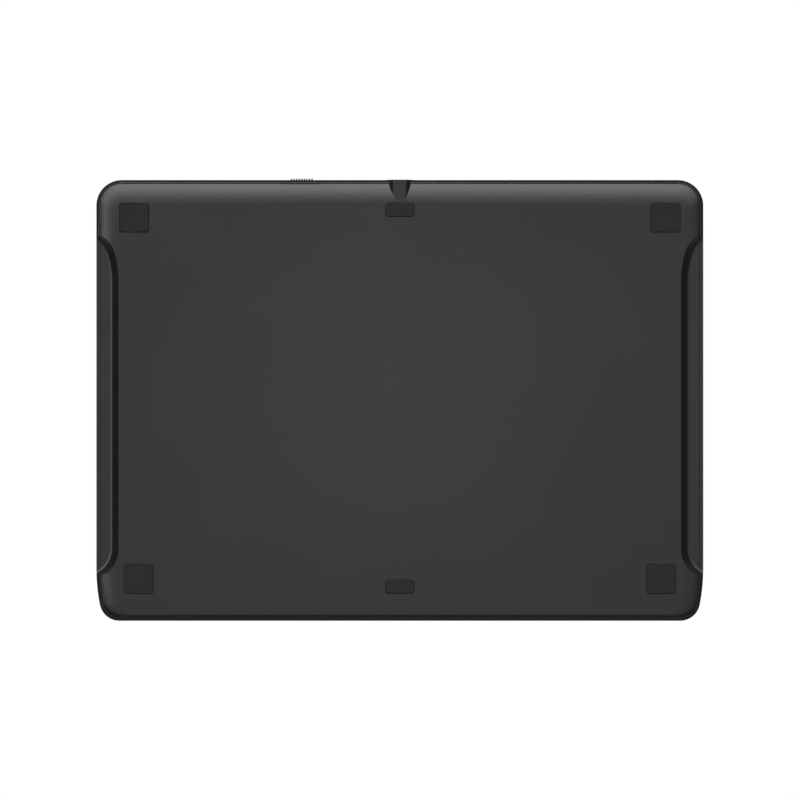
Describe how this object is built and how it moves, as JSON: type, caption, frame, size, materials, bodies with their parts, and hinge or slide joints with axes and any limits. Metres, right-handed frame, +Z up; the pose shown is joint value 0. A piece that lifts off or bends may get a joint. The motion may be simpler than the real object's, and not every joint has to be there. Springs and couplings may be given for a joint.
{
  "type": "graphics tablet",
  "caption": "Thin pen tablet: rimmed upper shell over a bevelled tray with finger recesses, rubber feet, press keys, a ribbed sliding power knob and a rear charging socket.",
  "frame": {"origin": "centre of the tablet's outline, on the table under the feet", "axes": "+Z up out of the drawing face, +X to the user's right, +Y away from the user towards the edge with the socket"},
  "size_m": [0.32, 0.2331, 0.0083],
  "materials": {
    "bottom_shell": "fine textured dark grey ABS",
    "top_shell": "fine textured dark grey ABS",
    "drawing_sheet": "matt grained PET film",
    "adhesive": "clear adhesive film",
    "circuit_board": "green solder resist",
    "shield_foil": "plain rolled",
    "light_guide": "milky acrylic",
    "led": "cast epoxy",
    "foot_rubber": "matt moulded",
    "screw_steel": "blackened",
    "key_plastic": "satin moulded",
    "switch_plastic": "moulded",
    "switch_steel": "stamped",
    "knob_plastic": "satin moulded",
    "socket_steel": "nickel plated",
    "socket_plastic": "moulded",
    "contact_gold": "gold plated",
    "chip_epoxy": "moulded epoxy",
    "can_steel": "tinned",
    "ribbon_film": "amber polyimide",
    "lead_jacket": "extruded",
    "connector_plastic": "moulded nylon",
    "battery_foil": "laminated pouch",
    "foam": "open cell"
  },
  "bodies": {
    "tablet": {"bottom_shell": "bottom_shell", "top_shell": "top_shell", "drawing_sheet": "drawing_sheet", "sheet_adhesive": "adhesive", "sensor_adhesive": "adhesive", "sensor_board": "circuit_board", "shield_plate": "shield_foil", "corner_light_front_left": "light_guide", "corner_light_front_right": "light_guide", "corner_light_rear_left": "light_guide", "corner_light_rear_right": "light_guide", "corner_leds": "led", "status_light": "light_guide", "status_led": "led", "foot_rear_left": "foot_rubber", "foot_rear_right": "foot_rubber", "foot_front_left": "foot_rubber", "foot_front_right": "foot_rubber", "foot_rear_middle": "foot_rubber", "foot_front_middle": "foot_rubber", "case_screws": "screw_steel", "key_switch_left": "switch_steel", "key_switch_centre": "switch_steel", "key_switch_right": "switch_steel", "power_switch": "switch_steel", "socket_shell": "socket_steel", "socket_insulator": "socket_plastic", "socket_contacts": "contact_gold", "main_board": "circuit_board", "main_board_screws": "screw_steel", "main_controller": "chip_epoxy", "charger_chip": "chip_epoxy", "board_parts": "chip_epoxy", "radio_board": "circuit_board", "radio_can": "can_steel", "antenna": "ribbon_film", "antenna_lead": "lead_jacket", "sensor_ribbon": "ribbon_film", "ribbon_socket": "connector_plastic", "battery_tape": "adhesive", "battery_cell": "battery_foil", "battery_foam": "foam", "battery_leads": "lead_jacket", "battery_plug": "connector_plastic", "battery_socket": "connector_plastic"},
    "key_left": {"key_left": "key_plastic", "key_stem_left": "switch_plastic"},
    "key_centre": {"key_centre": "key_plastic", "key_stem_centre": "switch_plastic"},
    "key_right": {"key_right": "key_plastic", "key_stem_right": "switch_plastic"},
    "power_slider": {"power_knob": "knob_plastic", "power_switch_lever": "switch_plastic"}
  },
  "joints": [
    {"name": "key_left_press", "type": "slide", "parent": "tablet", "child": "key_left", "axis": [0, 0, -1], "range_m": [0, 0.0003], "stiffness_N_per_m": 4000, "springref_m": -0.0002},
    {"name": "key_centre_press", "type": "slide", "parent": "tablet", "child": "key_centre", "axis": [0, 0, -1], "range_m": [0, 0.0003], "stiffness_N_per_m": 4000, "springref_m": -0.0002},
    {"name": "key_right_press", "type": "slide", "parent": "tablet", "child": "key_right", "axis": [0, 0, -1], "range_m": [0, 0.0003], "stiffness_N_per_m": 4000, "springref_m": -0.0002},
    {"name": "power_slide", "type": "slide", "parent": "tablet", "child": "power_slider", "axis": [1, 0, 0], "range_m": [-0.001, 0.001]}
  ]
}
